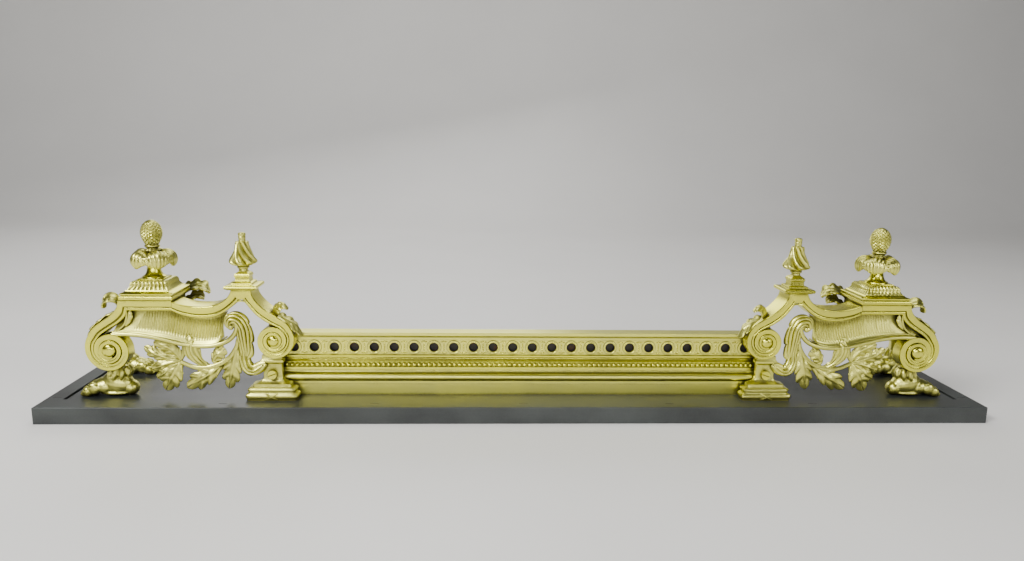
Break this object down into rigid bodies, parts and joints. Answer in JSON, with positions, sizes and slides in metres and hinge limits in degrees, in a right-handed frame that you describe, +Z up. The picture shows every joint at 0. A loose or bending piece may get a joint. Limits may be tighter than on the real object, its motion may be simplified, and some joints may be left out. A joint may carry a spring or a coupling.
{
  "type": "fireplace fender",
  "caption": "Cast brass fireplace fender: two ornamental end units with urns, joined by a pierced moulded rail, on a black steel hearth kerb.",
  "frame": {"origin": "middle of the kerb's footprint, on the floor", "axes": "+X along the hearth to the right as seen from the room, +Y back towards the fire, +Z up"},
  "size_m": [1.4, 0.205, 0.287],
  "materials": {
    "polished_brass": "worn polish with patina in the recesses",
    "cast_brass": "cast and chased, patinated",
    "black_kerb": "satin black paint",
    "black_screw": "painted over",
    "raw_iron": "blackened"
  },
  "bodies": {
    "root": {"bearer_centre": "raw_iron", "bearer_left": "raw_iron", "bearer_right": "raw_iron", "corner_gussets": "raw_iron", "finial_studs": "raw_iron", "hearth_plate": "black_kerb", "joint_strip": "raw_iron", "kerb_front": "black_kerb", "kerb_left": "black_kerb", "kerb_rear": "black_kerb", "kerb_right": "black_kerb", "kerb_screws": "black_screw", "left_console_leaf": "cast_brass", "left_finial_cap": "polished_brass", "left_foliage_spray": "cast_brass", "left_frieze_body": "cast_brass", "left_front_paw": "cast_brass", "left_inner_console": "polished_brass", "left_leaf_cup": "cast_brass", "left_outer_console": "polished_brass", "left_outer_leaf": "cast_brass", "left_pedestal": "polished_brass", "left_pinecone": "cast_brass", "left_plinth_block": "cast_brass", "left_plinth_cap": "polished_brass", "left_plinth_slab": "polished_brass", "left_rear_leaf": "cast_brass", "left_rear_leg": "cast_brass", "left_swirl_finial": "cast_brass", "left_urn_socle": "polished_brass", "left_window_leaf": "cast_brass", "pedestal_screws": "polished_brass", "rail_backing": "raw_iron", "rail_bead_moulding": "cast_brass", "rail_brackets": "raw_iron", "rail_pierced_band": "cast_brass", "rail_top_moulding": "polished_brass", "rail_torus_moulding": "polished_brass", "right_console_leaf": "cast_brass", "right_finial_cap": "polished_brass", "right_foliage_spray": "cast_brass", "right_frieze_body": "cast_brass", "right_front_paw": "cast_brass", "right_inner_console": "polished_brass", "right_leaf_cup": "cast_brass", "right_outer_console": "polished_brass", "right_outer_leaf": "cast_brass", "right_pedestal": "polished_brass", "right_pinecone": "cast_brass", "right_plinth_block": "cast_brass", "right_plinth_cap": "polished_brass", "right_plinth_slab": "polished_brass", "right_rear_leaf": "cast_brass", "right_rear_leg": "cast_brass", "right_swirl_finial": "cast_brass", "right_urn_socle": "polished_brass", "right_window_leaf": "cast_brass", "urn_tie_rods": "raw_iron"}
  },
  "joints": []
}
